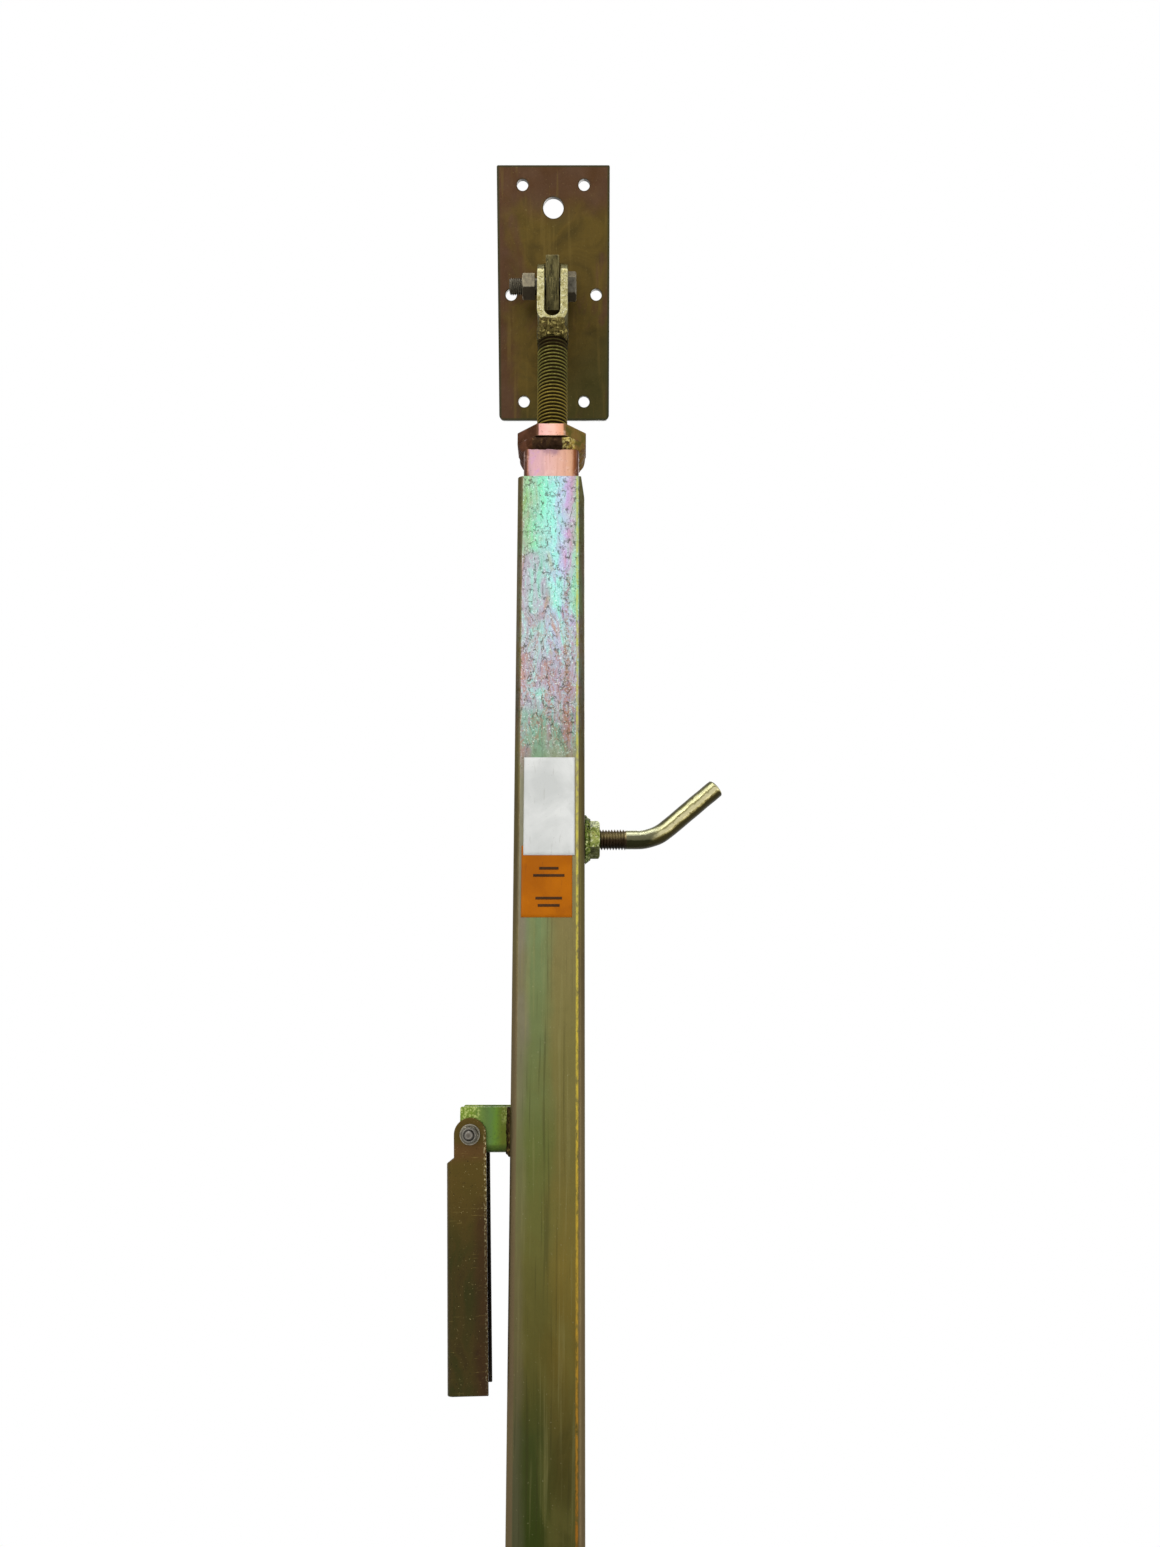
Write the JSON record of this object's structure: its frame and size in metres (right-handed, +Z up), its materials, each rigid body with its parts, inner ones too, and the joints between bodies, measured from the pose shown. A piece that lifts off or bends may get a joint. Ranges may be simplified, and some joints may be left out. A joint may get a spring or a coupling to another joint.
{
  "type": "adjustable steel prop",
  "caption": "Adjustable push-pull prop: two telescoping square steel tubes, threaded spindles with swivel end plates, a bent clamp screw and a swing-out turning handle.",
  "frame": {"origin": "centre of the head plate's bearing face", "axes": "+Z up along the hanging tubes, towards the head; -Y towards the front face with the labels; +X towards the clamp screw"},
  "size_m": [0.2304, 0.24, 2.3746],
  "materials": {
    "end_plate": "satin",
    "lug": "satin",
    "fork": "satin",
    "weld": "satin",
    "spindle": "satin",
    "dark_fastener": "satin",
    "spindle_nut": "satin",
    "inner_tube": "satin",
    "outer_tube": "satin",
    "clamp_nut": "satin",
    "clamp_screw": "satin",
    "bracket": "satin",
    "handle": "satin",
    "bright_fastener": "satin",
    "label_white": "matte",
    "label_orange": "matte",
    "label_ink": "matte"
  },
  "bodies": {
    "head_plate": {"head_plate": "end_plate", "head_lug": "lug", "head_lug_weld": "weld"},
    "head_fork": {"head_fork": "fork", "head_fork_weld": "weld", "head_spindle": "spindle", "head_pivot_bolt": "dark_fastener", "head_pivot_nut": "dark_fastener"},
    "inner_tube": {"inner_tube": "inner_tube", "upper_nut": "spindle_nut", "upper_nut_weld": "weld"},
    "outer_tube": {"outer_tube": "outer_tube", "lower_nut": "spindle_nut", "lower_nut_weld": "weld", "clamp_nut": "clamp_nut", "clamp_nut_weld": "weld", "handle_bracket": "bracket", "handle_bracket_weld": "weld", "handle_bolt": "bright_fastener", "handle_nut": "bright_fastener", "handle_washers": "bright_fastener"},
    "clamp_screw": {"clamp_screw": "clamp_screw"},
    "turning_handle": {"turning_handle": "handle"},
    "foot_fork": {"foot_fork": "fork", "foot_fork_weld": "weld", "foot_spindle": "spindle", "foot_pivot_bolt": "dark_fastener", "foot_pivot_nut": "dark_fastener"},
    "foot_plate": {"foot_plate": "end_plate", "foot_lug": "lug", "foot_lug_weld": "weld"}
  },
  "joints": [
    {"name": "head_pivot", "type": "hinge", "parent": "head_plate", "child": "head_fork", "pos_m": [0, -0.03987, -0.01611], "axis": [1, 0, 0], "range_deg": [-155, 20]},
    {"name": "head_thread", "type": "slide", "parent": "head_fork", "child": "inner_tube", "axis": [0, 0, -1], "range_m": [-0.085, 0.15]},
    {"name": "telescope", "type": "slide", "parent": "inner_tube", "child": "outer_tube", "axis": [0, 0, -1], "range_m": [-0.02, 0.61]},
    {"name": "clamp_turn", "type": "hinge", "parent": "outer_tube", "child": "clamp_screw", "pos_m": [0.06, -0.03987, -0.5537], "axis": [1, 0, 0], "range_deg": [0, 360]},
    {"name": "handle_swing", "type": "hinge", "parent": "outer_tube", "child": "turning_handle", "pos_m": [-0.0625, -0.03987, -0.79719], "axis": [0, 1, 0], "range_deg": [-3.5, 156.5]},
    {"name": "foot_thread", "type": "slide", "parent": "outer_tube", "child": "foot_fork", "axis": [0, 0, -1], "range_m": [-0.085, 0.15]},
    {"name": "foot_pivot", "type": "hinge", "parent": "foot_fork", "child": "foot_plate", "pos_m": [0, -0.03987, -2.22028], "axis": [1, 0, 0], "range_deg": [-90, 90]}
  ],
  "couplings": [
    {"joint": "foot_thread", "follows": "head_thread", "ratio": 1}
  ]
}
